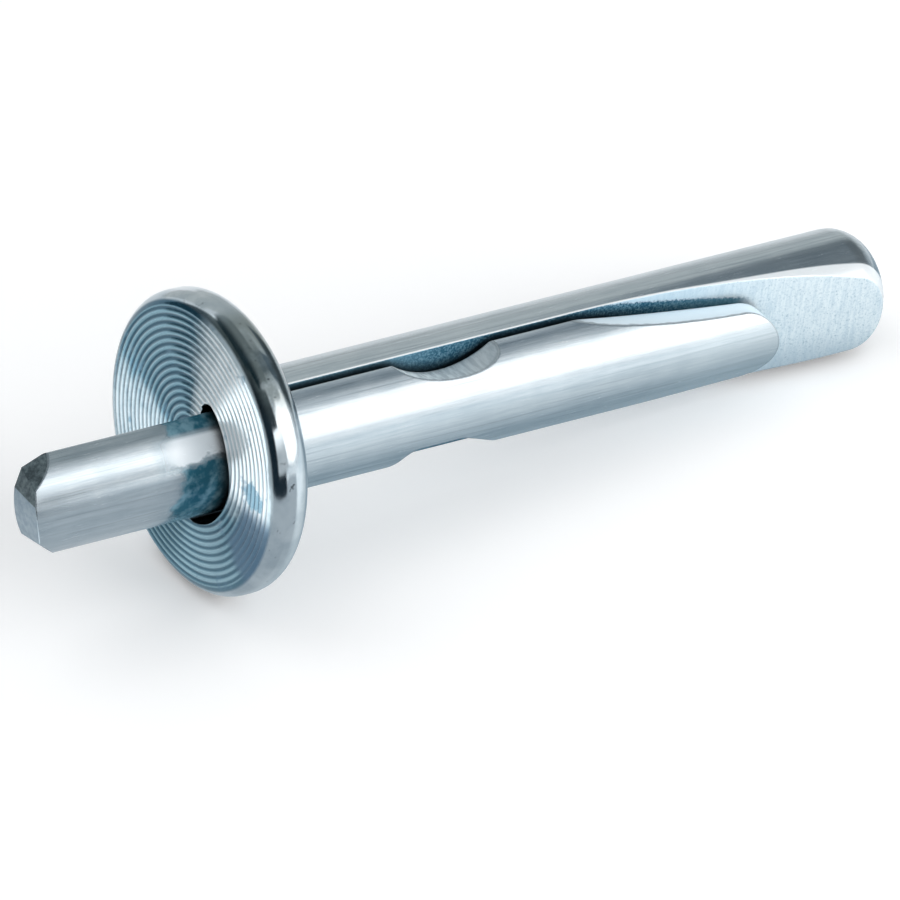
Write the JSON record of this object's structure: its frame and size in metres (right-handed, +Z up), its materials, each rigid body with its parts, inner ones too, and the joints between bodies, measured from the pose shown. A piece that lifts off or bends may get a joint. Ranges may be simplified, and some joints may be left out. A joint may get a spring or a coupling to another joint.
{
  "type": "ceiling wedge anchor",
  "caption": "Zinc-plated steel ceiling wedge anchor: ridged round head and a flat-sided shank with a ramp, and a sliding expansion wedge driven in through the head.",
  "frame": {"origin": "on the ground under the middle of the anchor's length, as it lies on the rim of its head and on its tip", "axes": "+X along the shank towards the tip, +Z up, -Y towards the expansion wedge"},
  "size_m": [0.0485, 0.0148, 0.0148],
  "materials": {
    "body_steel": "bright zinc plate, drawn along the shank, ridged on the head",
    "wedge_steel": "bright zinc plate, drawn along its length"
  },
  "bodies": {
    "anchor": {"anchor_body": "body_steel"},
    "wedge": {"expansion_wedge": "wedge_steel"}
  },
  "joints": [
    {"name": "wedge_drive", "type": "hinge", "parent": "anchor", "child": "wedge", "pos_m": [-0.01935, -0.22469, -0.00407], "axis": [-0.1141, 0.0523, -0.9921], "range_deg": [0, 2.6]}
  ]
}
